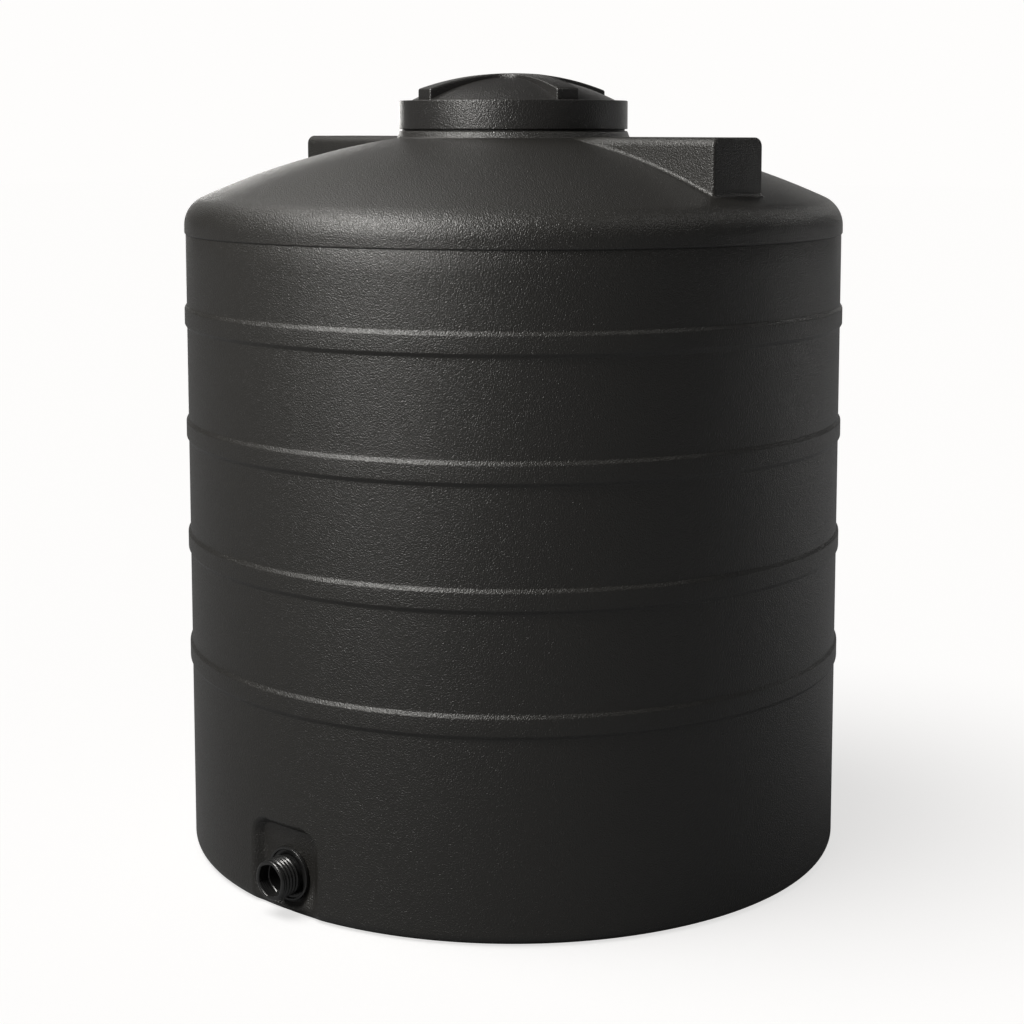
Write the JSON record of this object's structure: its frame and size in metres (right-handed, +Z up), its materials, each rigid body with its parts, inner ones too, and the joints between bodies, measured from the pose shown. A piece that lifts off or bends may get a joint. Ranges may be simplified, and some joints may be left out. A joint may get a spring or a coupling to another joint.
{
  "type": "water tank",
  "caption": "Upright round polyethylene water tank with moulded hoops, a domed roof with box lugs, a screw lid and a threaded outlet low on its side.",
  "frame": {"origin": "on the floor under the tank, on the axis of its round wall", "axes": "+Z up along the tank's axis, -Y along the outlet, out of its mouth"},
  "size_m": [1.309, 1.3365, 1.535],
  "materials": {
    "tank_moulding": "matte",
    "lid_moulding": "satin",
    "outlet_fitting": "satin",
    "seal_rubber": "matte"
  },
  "bodies": {
    "tank": {"tank_floor": "tank_moulding", "wall_over_outlet": "tank_moulding", "wall_foot_left": "tank_moulding", "wall_foot_right": "tank_moulding", "wall_segment_1": "tank_moulding", "wall_segment_2": "tank_moulding", "wall_segment_3": "tank_moulding", "wall_segment_4": "tank_moulding", "wall_segment_5": "tank_moulding", "wall_segment_6": "tank_moulding", "wall_segment_7": "tank_moulding", "outlet_pad": "tank_moulding", "roof_segment_1": "tank_moulding", "roof_segment_2": "tank_moulding", "roof_segment_3": "tank_moulding", "roof_segment_4": "tank_moulding", "roof_segment_5": "tank_moulding", "roof_segment_6": "tank_moulding", "roof_segment_7": "tank_moulding", "roof_segment_8": "tank_moulding", "lifting_lug_1": "tank_moulding", "lifting_lug_2": "tank_moulding", "neck_base_ring": "tank_moulding", "neck_collar": "tank_moulding", "outlet_gasket": "seal_rubber", "outlet_flange": "outlet_fitting", "outlet_nipple": "outlet_fitting", "outlet_backnut": "outlet_fitting"},
    "seal": {"lid_seal": "seal_rubber"},
    "lid": {"lid_skirt": "lid_moulding", "lid_crown": "lid_moulding", "lid_rib_1": "lid_moulding", "lid_rib_2": "lid_moulding", "lid_rib_3": "lid_moulding", "lid_rib_4": "lid_moulding", "lid_hub": "lid_moulding"}
  },
  "joints": [
    {"name": "lid_lift", "type": "slide", "parent": "tank", "child": "seal", "axis": [0, 0, 1], "range_m": [0, 0.12]},
    {"name": "lid_turn", "type": "hinge", "parent": "seal", "child": "lid", "pos_m": [0, 0, 1.45], "axis": [0, 0, 1], "range_deg": [0, 120]}
  ]
}
